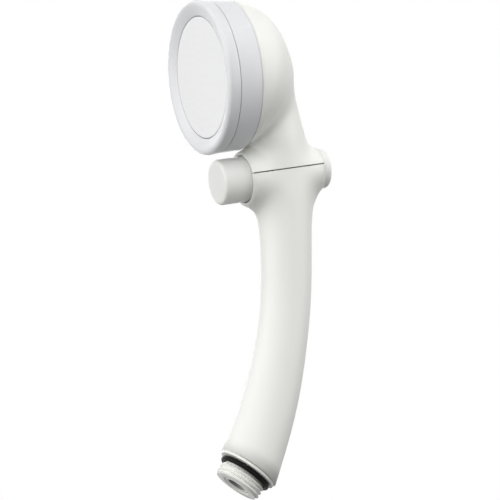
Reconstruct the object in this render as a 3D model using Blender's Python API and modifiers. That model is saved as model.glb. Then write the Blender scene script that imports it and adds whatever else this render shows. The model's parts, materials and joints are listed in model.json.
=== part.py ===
"""A handheld shower head with a push-through stop valve, modelled piece by piece.

The frame: the origin is the middle of the threaded inlet's end face, +Z is up, -Y is the way
the water sprays, and the head is symmetrical about the plane X = 0. Metres and degrees.
"""

from math import atan2, cos, pi, radians, sin, sqrt, tau

import bmesh
import bpy
from mathutils import Matrix, Vector
from mathutils.geometry import interpolate_bezier

# Gaps between pieces
FIT = 0.0003  # between two pieces that seat on, or slide in, each other
SEAL_GAP = 0.0002  # between a rubber ring and each of the two walls that it seals

# Handle: a round bar on an arc that starts upright under the valve and ends at the inlet
HANDLE_BEND_RADIUS = 0.218
HANDLE_SWEEP = 30.0
HANDLE_WAIST_ANGLE = 10.0  # where the handle is thinnest, from the top of its arc
HANDLE_TOP_RADIUS = 0.0120
HANDLE_WAIST_RADIUS = 0.0110
HANDLE_END_RADIUS = 0.01365
SHELL_WALL = 0.0024
END_WALL = 0.0065

# Inlet connector, along its own axis from the end of the thread up into the handle
INLET_TILT = 44.0  # the axis leans back from the vertical
THREAD_RADIUS = 0.0104775  # G 1/2, outside
THREAD_CHAMFER = 0.0007
THREAD_LENGTH = 0.0054
INLET_RING_SECTION = 0.00108  # radius of the O-ring's own section
INLET_RING_GROOVE_RADIUS = 0.0095
FLANGE_RADIUS = 0.0130
FLANGE_THICKNESS = 0.0012
INLET_BORE_RADIUS = 0.0060
INLET_THROAT_RADIUS = 0.0048
PLUG_RADIUS = 0.0090
PLUG_LENGTH = 0.0066
RESTRICTOR_DEPTH = 0.0018  # how far its face lies inside the mouth of the bore
RESTRICTOR_LENGTH = 0.0052
RESTRICTOR_HOLE_RADIUS = 0.0018
RESTRICTOR_FUNNEL_RADIUS = 0.0040

# Water tubes, and the spigots that they push onto
TUBE_RADIUS = 0.0054
TUBE_WALL = 0.0010
SPIGOT_WALL = 0.0022
SPIGOT_LENGTH = 0.0052
GROOVE_DEPTH = 0.0011
TUBE_STRAIGHT = 0.0062  # straight run at each end of a tube
PASSAGE_CLEARANCE = 0.0010
INLET_TUBE_STEPS = 13
OUTLET_TUBE_STEPS = 10
INLET_TUBE_PULLS = (0.36, 0.06)  # how far each end's direction carries, to the bend's length
OUTLET_TUBE_PULL = 0.6  # the same at both ends, to the bend's rise and run

# Stop valve: a spool in a barrel that crosses the body from front to back
VALVE_RISE = 0.0132  # its axis, above the top of the handle's arc
VALVE_TILT = 2.0  # its axis rises to the rear
STOP_TRAVEL = 0.0080
BARREL_RADIUS = 0.0058
BARREL_BORE_RADIUS = 0.0040
VALVE_COLLAR_RADIUS = 0.0086
VALVE_COLLAR_LENGTH = 0.0134
PORT_SPACING = 0.0052  # from the inlet port back to the outlet port
SPOOL_GROOVE_DEPTH = 0.0013
SEAL_LAND = 0.0015
SPOOL_WAIST_RADIUS = 0.0023
SCREW_RADIUS = 0.00115
SCREW_HEAD_RADIUS = 0.0021
SCREW_HEAD_HEIGHT = 0.0018
SCREW_GRIP = 0.0066  # length of screw held in the front button's stem

# Buttons
FRONT_BUTTON_RADIUS = 0.0099
FRONT_BUTTON_PROUD = 0.0123  # with the water running
FRONT_STEM_RADIUS = 0.0034
REAR_BUTTON_RADIUS = 0.0087
REAR_BUTTON_THICKNESS = 0.0036
REAR_SKIRT_RADIUS = 0.0072
REAR_SKIRT_WALL = 0.0010
REAR_SOCKET_WALL = 0.0012
BUTTON_WALL = 0.0015
BUTTON_EDGE = 0.0012

# Moulded body round the valve and up into the cup
FRONT_REACH = 0.0175  # from the handle's axis to the flat front of the cup and front boss
REAR_REACH = 0.0173  # from the handle's axis to the flat end of the rear boss
FRONT_BOSS_RADIUS = 0.0116
REAR_BOSS_RADIUS = 0.0096
REAR_BOSS_ROOT_RADIUS = 0.0109
BODY_HALF_WIDTH = 0.0120  # beside the valve
NECK_RADIUS = 0.0125
LOWER_BLEND_RADIUS = 0.0090  # where the bosses meet the handle
UPPER_BLEND_RADIUS = 0.0060  # where they meet the neck
BOSS_SIDE_SHARE = 0.9  # of the front boss's radius, where the blends end at the sides
JOINT_RISE = 0.0019  # of the joint between the two shells, above the valve's axis

# Cup and chamber, on an axis that points straight forward
CUP_CLEARANCE = 0.0002  # between the heights of the front boss's top and the cup's bottom
CUP_RADIUS = 0.0320
DOME_DEPTH = 0.0262
DOME_BACK_POWER = 1.35  # lower is more pointed at the back: an ellipse has 2
DOME_SIDE_POWER = 2.4  # higher is fuller behind the rim
LOWER_DOME_SHARE = 0.82  # height of the dome's lower half, to that of its upper half
NECK_LEAN = 0.14  # how far the back of the neck moves back for each unit that it drops
NECK_BLEND_POWER = 4  # higher keeps the neck and the dome more apart
POCKET_DEPTH = 0.0040  # between the bottom of the cup and the front boss
CUP_COLLAR_RADIUS = 0.0273
CUP_COLLAR_WALL = 0.0023
CUP_COLLAR_REACH = 0.0056
COLLAR_ROOT = 0.0030  # how far behind the flat front the collar starts
COLLAR_SPARE = 0.0005  # of the collar's wall, taken off again by the bowl
CHAMBER_SEAT = 0.0010  # how far the chamber's floor lies behind the flat front
CHAMBER_STEP = 0.0014
CHAMBER_FLOOR = 0.0022
CHAMBER_WALL = 0.0015

# Drum: the clamp ring, and the bezel that it holds
RING_BACK_RADIUS = 0.0320
RING_FRONT_RADIUS = 0.0325
RING_LENGTH = 0.0098
SKIRT_RADIUS = 0.0288
SKIRT_WALL = 0.0011
SNAP_DEPTH = 0.0014
SNAP_LENGTH = 0.0014
BEZEL_BACK_RADIUS = 0.0327
BEZEL_RADIUS = 0.0330
BEZEL_LENGTH = 0.0053
BEZEL_LIP_WIDTH = 0.0020  # of the rounded front lip, from its crest out to the side
BEZEL_LIP_DEPTH = 0.0018
BEVEL_EDGE = 0.0006  # between the lip's crest and the bevel inside it
EDGE = 0.00035

# Spray plate, and what lies behind it
PLATE_RADIUS = 0.0257
PLATE_THICKNESS = 0.0032
PLATE_FLANGE = 0.0014
NOZZLE_RADIUS = 0.0003
NOZZLE_SIDES = 5
NOZZLE_RINGS = 3
NOZZLE_RING_STEP = 0.0066
DISTRIBUTOR_THICKNESS = 0.0014
DISTRIBUTOR_HOLES = 12
DISTRIBUTOR_HOLE_RADIUS = 0.0016
DISTRIBUTOR_HOLE_SIDES = 8
DISTRIBUTOR_HOLE_CIRCLE = 0.0175
FACE_SEAL_THICKNESS = 0.0014

# How finely round things are divided
FINE = 40
MEDIUM = 24
SMALL = 16
RING_SIDES = 6
INLET_RING_SIDES = 8
CAVITY_STEPS = 8
BOWL_STEPS = 6
LIP_STEPS = 5
HANDLE_SPANS = 4
HANDLE_FIRST_ANGLE = 2.5  # of the highest ring of the handle's cage
NECK_SPANS = 2
DOME_SPANS = 4
FIT_ROUNDS = 8
SHARP_ANGLE = 38.0
AXIS_SIZE = 0.01  # of the marks that show the axes

# How far a cutter passes the surface that it opens, and the corners that one may leave
OVERCUT = 0.002
SEAM = 0.00001
CUTTER_SIZE = 0.4  # of the cubes that part the two shells

# Where the main axes lie
INLET_UP = Vector((0, sin(radians(INLET_TILT)), cos(radians(INLET_TILT))))
INLET_RING_PLACE = THREAD_LENGTH + FIT + INLET_RING_SECTION
FLANGE_PLACE = INLET_RING_PLACE + INLET_RING_SECTION + FIT
HANDLE_PLACE = FLANGE_PLACE + FLANGE_THICKNESS + FIT
HANDLE_END = INLET_UP * HANDLE_PLACE
HANDLE_TOP = HANDLE_END + HANDLE_BEND_RADIUS * Vector(
    (0, 1 - cos(radians(HANDLE_SWEEP)), sin(radians(HANDLE_SWEEP)))
)
FRONT_Y = HANDLE_TOP.y - FRONT_REACH
VALVE_Z = HANDLE_TOP.z + VALVE_RISE
FACE_Z = VALVE_Z + FRONT_BOSS_RADIUS + CUP_CLEARANCE + CUP_RADIUS
VALVE_FRAME = Matrix.Translation((0, HANDLE_TOP.y, VALVE_Z)) @ Matrix.Rotation(
    radians(VALVE_TILT), 4, "X"
)

# Tubes and spigots
TUBE_BORE_RADIUS = TUBE_RADIUS - TUBE_WALL
SPIGOT_RADIUS = TUBE_BORE_RADIUS - FIT
SPIGOT_BORE_RADIUS = SPIGOT_RADIUS - SPIGOT_WALL
CONNECTOR_SPIGOT_PLACE = HANDLE_PLACE + PLUG_LENGTH

# Depths behind the front boss's rim, along the valve's axis
REAR_DEPTH = FRONT_REACH + REAR_REACH
VALVE_MIDDLE = FRONT_REACH + FIT
INLET_PORT = VALVE_MIDDLE - PORT_SPACING / 2
OUTLET_PORT = VALVE_MIDDLE + PORT_SPACING / 2
VALVE_COLLAR_FRONT = VALVE_MIDDLE - VALVE_COLLAR_LENGTH / 2
VALVE_COLLAR_BACK = VALVE_MIDDLE + VALVE_COLLAR_LENGTH / 2
SPOOL_RADIUS = BARREL_BORE_RADIUS - FIT
FRONT_SEAL = INLET_PORT - SPIGOT_BORE_RADIUS - SEAL_LAND - STOP_TRAVEL
MIDDLE_SEAL = VALVE_MIDDLE - STOP_TRAVEL
REAR_SEAL = OUTLET_PORT + SPIGOT_BORE_RADIUS + SEAL_LAND
BARREL_FRONT = FRONT_SEAL - SEAL_LAND
BARREL_BACK = REAR_SEAL + STOP_TRAVEL + SEAL_LAND
SPOOL_FRONT = FRONT_SEAL - 2 * SEAL_LAND
FRONT_STEM_END = SPOOL_FRONT - FIT
FRONT_SKIRT_END = INLET_PORT - TUBE_RADIUS - FIT - STOP_TRAVEL
REAR_BUTTON_PLACE = REAR_DEPTH + FIT
REAR_BUTTON_BACK = REAR_BUTTON_PLACE + REAR_BUTTON_THICKNESS
SPOOL_BACK = REAR_BUTTON_BACK - BUTTON_WALL - FIT
SCREW_SEAT = SPOOL_BACK - SCREW_HEAD_HEIGHT - 3 * FIT

# Distances in front of the flat front of the body, along the spray axis
CHAMBER_RADIUS = CUP_COLLAR_RADIUS - CUP_COLLAR_WALL - FIT
RING_END = FIT + RING_LENGTH
BEZEL_START = RING_END + FIT
BEZEL_END = BEZEL_START + BEZEL_LENGTH
FACE_SEAL_START = CUP_COLLAR_REACH + FIT
DISTRIBUTOR_START = FACE_SEAL_START + FACE_SEAL_THICKNESS + FIT
PLATE_START = DISTRIBUTOR_START + DISTRIBUTOR_THICKNESS + FIT
PLATE_FRONT = PLATE_START + PLATE_FLANGE + PLATE_THICKNESS
LEDGE_PLACE = PLATE_START + PLATE_FLANGE + FIT
SKIRT_BORE_RADIUS = SKIRT_RADIUS - SKIRT_WALL
SKIRT_START = CUP_COLLAR_REACH + 3 * FIT
SNAP_END = SKIRT_START + SNAP_LENGTH

# Colours, roughness and metallic values
FINISHES = {
    "body_white": ((0.80, 0.80, 0.77), 0.32, 0.0),
    "drum_white": ((0.76, 0.77, 0.80), 0.28, 0.0),
    "plate_white": ((0.80, 0.81, 0.82), 0.40, 0.0),
    "button_grey": ((0.55, 0.56, 0.54), 0.42, 0.0),
    "valve_white": ((0.74, 0.74, 0.72), 0.38, 0.0),
    "tube_white": ((0.70, 0.72, 0.73), 0.35, 0.0),
    "rubber_black": ((0.012, 0.012, 0.012), 0.55, 0.0),
    "screw_steel": ((0.56, 0.55, 0.53), 0.30, 1.0),
}


# ---- Scene, materials and axes ----


def clear_scene():
    for obj in list(bpy.data.objects):
        bpy.data.objects.remove(obj, do_unlink=True)


def new_collection(name):
    collection = bpy.data.collections.new(name)
    bpy.context.scene.collection.children.link(collection)
    return collection


def new_material(name):
    colour, roughness, metallic = FINISHES[name]
    material = bpy.data.materials.new(name)
    material.use_nodes = True
    shader = material.node_tree.nodes["Principled BSDF"]
    shader.inputs["Base Color"].default_value = (*colour, 1.0)
    shader.inputs["Roughness"].default_value = roughness
    shader.inputs["Metallic"].default_value = metallic
    material.diffuse_color = (*colour, 1.0)
    return material


def new_axis(name, location, turn):
    """An empty whose local Z is the axis of a group of turned pieces."""
    axis = bpy.data.objects.new(name, None)
    axis.location = location
    axis.rotation_euler = (radians(turn), 0, 0)
    axis.empty_display_size = AXIS_SIZE
    parts.objects.link(axis)
    return axis


def add_piece(name, mesh, finish, axis=None):
    piece = bpy.data.objects.new(name, mesh)
    mesh.materials.append(materials[finish])
    piece.parent = axis
    parts.objects.link(piece)
    return piece


def add_cutter(name, mesh, axis=None):
    cutter = bpy.data.objects.new(name, mesh)
    cutter.parent = axis
    cutter.hide_render = True
    cutter.display_type = "WIRE"
    cutters.objects.link(cutter)
    return cutter


def combine(piece, other, operation):
    boolean = piece.modifiers.new(other.name, "BOOLEAN")
    boolean.operation = operation
    boolean.solver = "EXACT"
    boolean.use_hole_tolerant = True
    boolean.object = other


# ---- Shapes ----


def round_corner(radius, place, size, start, end, steps=4):
    """Points on an arc about (radius, place), from one angle to another."""
    angles = [radians(start + (end - start) * i / steps) for i in range(steps + 1)]
    return [(radius + size * cos(a), place + size * sin(a)) for a in angles]


def turn(piece, steps):
    screw = piece.modifiers.new("Turn", "SCREW")
    screw.axis = "Z"
    screw.steps = steps
    screw.render_steps = steps
    screw.use_merge_vertices = True
    screw.merge_threshold = SEAM


def profile_mesh(name, profile):
    """The outline of a turned piece as (radius, place) pairs, down its outer side."""
    mesh = bpy.data.meshes.new(name)
    edges = [(i, i + 1) for i in range(len(profile) - 1)]
    if profile[0][0] > 0:
        edges.append((len(profile) - 1, 0))
    mesh.from_pydata([(r, 0, z) for r, z in profile], edges, [])
    return mesh


def turned(name, profile, finish, axis, steps=FINE):
    piece = add_piece(name, profile_mesh(name, profile), finish, axis)
    turn(piece, steps)
    return piece


def turned_cutter(name, profile, axis, steps=FINE):
    cutter = add_cutter(name, profile_mesh(name, profile), axis)
    turn(cutter, steps)
    return cutter


def rod(radius, low, high):
    return [(0, high), (radius, high), (radius, low), (0, low)]


def washer(inner, outer, low, high):
    return [(outer, high), (outer, low), (inner, low), (inner, high)]


def groove(surface, floor, middle, half_width):
    """Four profile points of a square groove, going down."""
    top, bottom = middle + half_width, middle - half_width
    return [(surface, top), (floor, top), (floor, bottom), (surface, bottom)]


def seal_section(floor, wall):
    """Radius of the section of a rubber ring that fills the gap between two round walls."""
    return (wall - floor) / 2 - SEAL_GAP


def rubber_ring(name, floor, wall, place, axis, steps=SMALL):
    section = seal_section(floor, wall)
    outline = round_corner((floor + wall) / 2, place, section, 90, -270, RING_SIDES)
    return turned(name, outline[:-1], "rubber_black", axis, steps)


def bar_mesh(name, points, radii):
    """A closed round bar along a line of points, with a radius at each."""
    curve = bpy.data.curves.new(name, "CURVE")
    curve.dimensions = "3D"
    curve.bevel_depth = 1.0
    curve.bevel_resolution = 4
    curve.use_fill_caps = True
    spline = curve.splines.new("POLY")
    spline.points.add(len(points) - 1)
    for control, place, radius in zip(spline.points, points, radii):
        control.co = (*place, 1)
        control.radius = radius
    guide = bpy.data.objects.new(name, curve)
    cutters.objects.link(guide)
    graph = bpy.context.evaluated_depsgraph_get()
    mesh = bpy.data.meshes.new_from_object(guide.evaluated_get(graph))
    bpy.data.objects.remove(guide)
    bpy.data.curves.remove(curve)
    bm = bmesh.new()
    bm.from_mesh(mesh)
    bmesh.ops.remove_doubles(bm, verts=bm.verts, dist=SEAM)
    bmesh.ops.recalc_face_normals(bm, faces=bm.faces)
    bm.to_mesh(mesh)
    bm.free()
    return mesh


def tube(name, route):
    """A pipe along a route, open at both ends."""
    pipe = add_piece(name, bar_mesh(name, route, [TUBE_RADIUS] * len(route)), "tube_white")
    longer = stretched(route, OVERCUT)
    bore = bar_mesh(f"{name}_bore", longer, [TUBE_BORE_RADIUS] * len(longer))
    combine(pipe, add_cutter(f"{name}_bore", bore), "DIFFERENCE")
    return pipe


def stretched(route, extra):
    """The route, made longer at both ends."""
    first = (route[0] - route[1]).normalized() * extra
    last = (route[-1] - route[-2]).normalized() * extra
    return [route[0] + first, *route[1:-1], route[-1] + last]


def tube_route(start, leave, end, arrive, pulls, steps):
    """Straight out of one socket, along one smooth bend, and straight into the other."""
    bend_start = start + leave * TUBE_STRAIGHT
    bend_end = end + arrive * TUBE_STRAIGHT
    bend = interpolate_bezier(
        bend_start, bend_start + leave * pulls[0], bend_end + arrive * pulls[1], bend_end, steps
    )
    return [start, *bend, end]


# ---- The moulded body ----


def handle_point(angle):
    """A point on the middle of the handle, at an angle down its arc."""
    a = radians(angle)
    return HANDLE_TOP - HANDLE_BEND_RADIUS * Vector((0, 1 - cos(a), sin(a)))


def handle_radius(angle):
    if angle < HANDLE_WAIST_ANGLE:
        share = (HANDLE_WAIST_ANGLE - angle) / HANDLE_WAIST_ANGLE
        return HANDLE_WAIST_RADIUS + (HANDLE_TOP_RADIUS - HANDLE_WAIST_RADIUS) * share**2
    share = (angle - HANDLE_WAIST_ANGLE) / (HANDLE_SWEEP - HANDLE_WAIST_ANGLE)
    return HANDLE_WAIST_RADIUS + (HANDLE_END_RADIUS - HANDLE_WAIST_RADIUS) * share**2


def ring_points(middle, backward, half_depth, half_width):
    """Eight points round an oval: the front one first, then anticlockwise from above."""
    angles = [tau * i / 8 for i in range(8)]
    return [
        middle - backward * (half_depth * cos(a)) + Vector((half_width * sin(a), 0, 0))
        for a in angles
    ]


def handle_rings():
    rings = []
    for i in range(HANDLE_SPANS + 1):
        angle = HANDLE_SWEEP - (HANDLE_SWEEP - HANDLE_FIRST_ANGLE) * i / HANDLE_SPANS
        lean = radians(INLET_TILT if i == 0 else angle)
        radius = handle_radius(angle)
        backward = Vector((0, cos(lean), -sin(lean)))
        rings.append(ring_points(handle_point(angle), backward, radius, radius))
    return rings


def blend_point(across, side, level, boss_radius, bar_radius):
    """A point, in the valve's frame, on the fillet where a boss meets an upright bar."""
    bar_normal = Vector((across, side * sqrt(bar_radius**2 - across**2), 0)) / bar_radius
    boss_normal = Vector((across, 0, level * sqrt(boss_radius**2 - across**2))) / boss_radius
    corner = Vector((across, bar_normal.y * bar_radius, boss_normal.z * boss_radius))
    between = bar_normal + boss_normal
    blend = UPPER_BLEND_RADIUS if level > 0 else LOWER_BLEND_RADIUS
    return corner + between.normalized() * blend * (2 / between.length - 1)


def valve_ring(level, bar_radius):
    """The ring of eight points just under (level -1) or over (level 1) the two bosses."""
    front = FRONT_BOSS_RADIUS * sin(radians(45))
    back = REAR_BOSS_ROOT_RADIUS * sin(radians(45))
    ring = [
        blend_point(0, -1, level, FRONT_BOSS_RADIUS, bar_radius),
        blend_point(front, -1, level, FRONT_BOSS_RADIUS, bar_radius),
        Vector((bar_radius, 0, level * FRONT_BOSS_RADIUS * BOSS_SIDE_SHARE)),
        blend_point(back, 1, level, REAR_BOSS_ROOT_RADIUS, bar_radius),
        blend_point(0, 1, level, REAR_BOSS_ROOT_RADIUS, bar_radius),
    ]
    return ring + [mirrored(ring[i]) for i in (3, 2, 1)]


def mirrored(point):
    return Vector((-point.x, point.y, point.z))


def side_points(ring):
    """Three points beside the valve's axis, on the side where X is positive."""
    return [
        Vector((FRONT_BOSS_RADIUS, ring[1].y, 0)),
        Vector((BODY_HALF_WIDTH, 0, 0)),
        Vector((REAR_BOSS_ROOT_RADIUS, ring[3].y, 0)),
    ]


def boss_rim(reach, radius):
    """Eight points round a boss, from its bottom, passing the side where X is positive."""
    turns = [tau * i / 8 for i in range(8)]
    return [Vector((radius * sin(a), reach, -radius * cos(a))) for a in turns]


def dome_outline(share):
    """A point of the dome's middle line, level with its axis at 0 and at its top at 1."""
    a = radians(90 * share)
    back = DOME_DEPTH * cos(a) ** (2 / DOME_SIDE_POWER) if share < 1 else 0
    return Vector((0, back, CUP_RADIUS * (1 + sin(a) ** (2 / DOME_BACK_POWER))))


def dome_half_width(back, rise):
    """Of the dome, at a distance behind its rim and a height above the rim's bottom."""
    share = max(1 - (back / DOME_DEPTH) ** DOME_SIDE_POWER, 0)
    radius = CUP_RADIUS * share ** (1 / DOME_BACK_POWER)
    off_axis = rise - CUP_RADIUS
    if off_axis < 0:
        off_axis /= LOWER_DOME_SHARE
    return sqrt(max(radius**2 - off_axis**2, 0))


def spine():
    """The middle line of the back of neck and cup, from the bottom of the cup's rim."""
    points = []
    for i in range(NECK_SPANS):
        rise = CUP_RADIUS * (i + 1) / (NECK_SPANS + 1)
        points.append(Vector((0, DOME_DEPTH + NECK_LEAN * (CUP_RADIUS - rise), rise)))
    return points + [dome_outline(i / DOME_SPANS) for i in range(DOME_SPANS + 1)]


def fan_ring(far):
    """A ring in the plane through the bottom of the cup's rim and a point of the spine."""
    angle = atan2(far.z, far.y)
    near = POCKET_DEPTH * (1 - angle / radians(90))
    outward = far.normalized()
    middle = outward * (near + far.length) / 2
    dome = dome_half_width(middle.y, middle.z)
    half_width = CUP_RADIUS
    if far.y > 0:
        total = dome**NECK_BLEND_POWER + NECK_RADIUS**NECK_BLEND_POWER
        half_width = total ** (1 / NECK_BLEND_POWER)
    rim_bottom = Vector((0, FRONT_Y, FACE_Z - CUP_RADIUS))
    return ring_points(rim_bottom + middle, outward, (far.length - near) / 2, half_width)


def skin(cage, first, second):
    """Quads between two loops of corners."""
    for i in range(len(first)):
        j = (i + 1) % len(first)
        cage.faces.new((first[i], first[j], second[j], second[i]))


def side_faces(cage, under, over, row, columns):
    """Quads from three corners beside the valve to the rings under and over them."""
    for i in range(2):
        a, b = columns[i], columns[i + 1]
        cage.faces.new((under[a], under[b], row[i + 1], row[i]))
        cage.faces.new((row[i], row[i + 1], over[b], over[a]))


def cap(cage, loop, crease):
    """A flat end, whose rim stays sharp when the cage is subdivided."""
    face = cage.faces.new(loop)
    for edge in face.edges:
        edge[crease] = 1.0


def limit_point(corner, crease):
    """Where subdivision moves a corner of the cage."""
    sharp = [edge.other_vert(corner).co for edge in corner.link_edges if edge[crease] > 0]
    if sharp:
        return (4 * corner.co + sum(sharp, Vector())) / 6
    count = len(corner.link_edges)
    near = sum((edge.other_vert(corner).co for edge in corner.link_edges), Vector())
    far = Vector()
    for face in corner.link_faces:
        linked = {corner} | {edge.other_vert(corner) for edge in corner.link_edges}
        far += next(vert.co for vert in face.verts if vert not in linked)
    return (count**2 * corner.co + 4 * near + far) / (count * (count + 5))


def fit_cage(cage, crease):
    """Moves the corners outward until the subdivided surface passes through their places."""
    wanted = {corner: corner.co.copy() for corner in cage.verts}
    for _ in range(FIT_ROUNDS):
        limits = {corner: limit_point(corner, crease) for corner in cage.verts}
        for corner in cage.verts:
            corner.co += wanted[corner] - limits[corner]


def body_cage(name):
    """Cage of the whole body: handle, two bosses crossing it, neck and cup."""
    cage = bmesh.new()
    crease = cage.edges.layers.float.new("crease_edge")

    def corners(points):
        return [cage.verts.new(point) for point in points]

    def valve_corners(points):
        return corners([VALVE_FRAME @ point for point in points])

    below = valve_ring(-1, HANDLE_TOP_RADIUS)
    lower = [corners(ring) for ring in handle_rings()]
    lower.append(valve_corners(below))
    upper = [valve_corners(valve_ring(1, NECK_RADIUS))]
    upper += [corners(fan_ring(point)) for point in spine()]
    for rings in (lower, upper):
        for first, second in zip(rings, rings[1:]):
            skin(cage, first, second)
    under, over = lower[-1], upper[0]
    beside = side_points(below)
    right = valve_corners(beside)
    left = valve_corners([mirrored(point) for point in beside])
    side_faces(cage, under, over, right, (1, 2, 3))
    side_faces(cage, under, over, left, (7, 6, 5))
    front = [under[0], under[1], right[0], over[1], over[0], over[7], left[0], under[7]]
    back = [under[4], under[3], right[2], over[3], over[4], over[5], left[2], under[5]]
    front_rim = valve_corners(boss_rim(-FRONT_REACH, FRONT_BOSS_RADIUS))
    rear_rim = valve_corners(boss_rim(REAR_REACH, REAR_BOSS_RADIUS))
    skin(cage, front, front_rim)
    skin(cage, back, rear_rim)
    for loop in (lower[0], upper[-1], front_rim, rear_rim):
        cap(cage, loop, crease)
    bmesh.ops.recalc_face_normals(cage, faces=cage.faces)
    fit_cage(cage, crease)
    mesh = bpy.data.meshes.new(name)
    cage.to_mesh(mesh)
    cage.free()
    return mesh


def moulded_body(name):
    body = add_piece(name, body_cage(name), "body_white")
    smooth = body.modifiers.new("Smooth", "SUBSURF")
    smooth.levels = 2
    smooth.render_levels = 2
    return body


def joint_cutter(name, side):
    """Everything on one side of the joint between the shells, less half the joint's gap."""
    mesh = bpy.data.meshes.new(name)
    box = bmesh.new()
    bmesh.ops.create_cube(box, size=CUTTER_SIZE)
    box.to_mesh(mesh)
    box.free()
    cutter = add_cutter(name, mesh)
    cutter.rotation_euler = (radians(VALVE_TILT), 0, 0)
    middle = JOINT_RISE + side * (CUTTER_SIZE - FIT) / 2
    cutter.location = VALVE_FRAME @ Vector((0, 0, middle))
    return cutter


def valve_bay_cutter():
    """Three bores in line: for the front button, the valve's collar and the rear button."""
    front, rear = FRONT_BUTTON_RADIUS + FIT, REAR_SKIRT_RADIUS + FIT
    middle = VALVE_COLLAR_RADIUS + FIT
    outline = [
        (0, REAR_DEPTH + OVERCUT),
        (rear, REAR_DEPTH + OVERCUT),
        (rear, VALVE_COLLAR_BACK + FIT),
        (middle, VALVE_COLLAR_BACK + FIT),
        (middle, VALVE_COLLAR_FRONT - FIT),
        (front, VALVE_COLLAR_FRONT - FIT),
        (front, -OVERCUT),
        (0, -OVERCUT),
    ]
    return turned_cutter("valve_bay", outline, valve_axis)


def handle_cavity_cutter():
    """The hollow of the handle, from inside the valve bay to the wall at its end."""
    last = HANDLE_SWEEP - END_WALL / HANDLE_BEND_RADIUS * 180 / pi
    angles = [last * i / CAVITY_STEPS for i in range(CAVITY_STEPS + 1)]
    points = [HANDLE_TOP + Vector((0, 0, VALVE_RISE - VALVE_COLLAR_RADIUS + OVERCUT))]
    points += [handle_point(angle) for angle in angles]
    radii = [handle_radius(angle) - SHELL_WALL for angle in [0.0, *angles]]
    return add_cutter("handle_cavity", bar_mesh("handle_cavity", points, radii))


def bowl_cutter():
    """The hollow of the cup, with a step that the chamber's floor sits against."""
    bore = CUP_COLLAR_RADIUS - CUP_COLLAR_WALL
    bowl = bore - CHAMBER_STEP
    step = -CHAMBER_SEAT - FIT
    depth = DOME_DEPTH - SHELL_WALL + step
    start = CUP_COLLAR_REACH + OVERCUT
    angles = [radians(90 * i / BOWL_STEPS) for i in range(BOWL_STEPS)]
    dome = [(bowl * cos(a), step - depth * sin(a)) for a in angles]
    outline = [(0, start), (bore, start), (bore, step), *dome, (0, step - depth)]
    return turned_cutter("bowl", outline, spray_axis, MEDIUM)


def head_housing(passage):
    housing = moulded_body("head_housing")
    inner = CUP_COLLAR_RADIUS - CUP_COLLAR_WALL - COLLAR_SPARE
    collar = washer(inner, CUP_COLLAR_RADIUS, -COLLAR_ROOT, CUP_COLLAR_REACH)
    combine(housing, turned_cutter("cup_collar", collar, spray_axis), "UNION")
    combine(housing, bowl_cutter(), "DIFFERENCE")
    combine(housing, passage, "DIFFERENCE")
    combine(housing, valve_bay_cutter(), "DIFFERENCE")
    combine(housing, joint_cutter("below_joint", -1), "DIFFERENCE")


def handle_shell():
    shell = moulded_body("handle_shell")
    mouth = rod(PLUG_RADIUS + FIT, HANDLE_PLACE - OVERCUT, HANDLE_PLACE + END_WALL + OVERCUT)
    combine(shell, handle_cavity_cutter(), "DIFFERENCE")
    combine(shell, turned_cutter("plug_bore", mouth, inlet_axis), "DIFFERENCE")
    combine(shell, bpy.data.objects["valve_bay"], "DIFFERENCE")
    combine(shell, joint_cutter("above_joint", 1), "DIFFERENCE")


# ---- Inlet ----


def spigot_outline(root, reach):
    """The outer side of a spigot with one groove, from its tip down to its root."""
    tip = root + reach
    floor = SPIGOT_RADIUS - GROOVE_DEPTH
    half = seal_section(floor, TUBE_BORE_RADIUS) + SEAL_GAP
    ring = groove(SPIGOT_RADIUS, floor, tip - 2 * half, half)
    return [(SPIGOT_RADIUS, tip), *ring, (SPIGOT_RADIUS, root)]


def spigot_ring(name, root, axis):
    floor = SPIGOT_RADIUS - GROOVE_DEPTH
    half = seal_section(floor, TUBE_BORE_RADIUS) + SEAL_GAP
    rubber_ring(name, floor, TUBE_BORE_RADIUS, root + SPIGOT_LENGTH - 2 * half, axis)


def inlet_connector():
    """Thread, O-ring groove, flange, plug in the handle's end and spigot for the tube."""
    spigot = CONNECTOR_SPIGOT_PLACE
    flange = FLANGE_PLACE
    shoulder = RESTRICTOR_DEPTH + RESTRICTOR_LENGTH + FIT
    plug_floor = PLUG_RADIUS - GROOVE_DEPTH
    plug_half = seal_section(plug_floor, PLUG_RADIUS + FIT) + SEAL_GAP
    outline = [
        *spigot_outline(spigot, SPIGOT_LENGTH),
        (PLUG_RADIUS, spigot),
        *groove(PLUG_RADIUS, plug_floor, HANDLE_PLACE + PLUG_LENGTH / 2, plug_half),
        (PLUG_RADIUS, flange + FLANGE_THICKNESS),
        (FLANGE_RADIUS, flange + FLANGE_THICKNESS),
        (FLANGE_RADIUS, flange),
        (INLET_RING_GROOVE_RADIUS, flange),
        (INLET_RING_GROOVE_RADIUS, THREAD_LENGTH),
        (THREAD_RADIUS, THREAD_LENGTH),
        (THREAD_RADIUS, THREAD_CHAMFER),
        (THREAD_RADIUS - THREAD_CHAMFER, 0),
        (INLET_BORE_RADIUS, 0),
        (INLET_BORE_RADIUS, shoulder),
        (INLET_THROAT_RADIUS, shoulder),
        (INLET_THROAT_RADIUS, spigot - SPIGOT_WALL),
        (SPIGOT_BORE_RADIUS, spigot),
        (SPIGOT_BORE_RADIUS, spigot + SPIGOT_LENGTH),
    ]
    turned("inlet_connector", outline, "body_white", inlet_axis, MEDIUM)
    plug_wall = PLUG_RADIUS + FIT
    rubber_ring("plug_seal", plug_floor, plug_wall, HANDLE_PLACE + PLUG_LENGTH / 2, inlet_axis, MEDIUM)
    spigot_ring("connector_tube_seal", spigot, inlet_axis)


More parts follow.
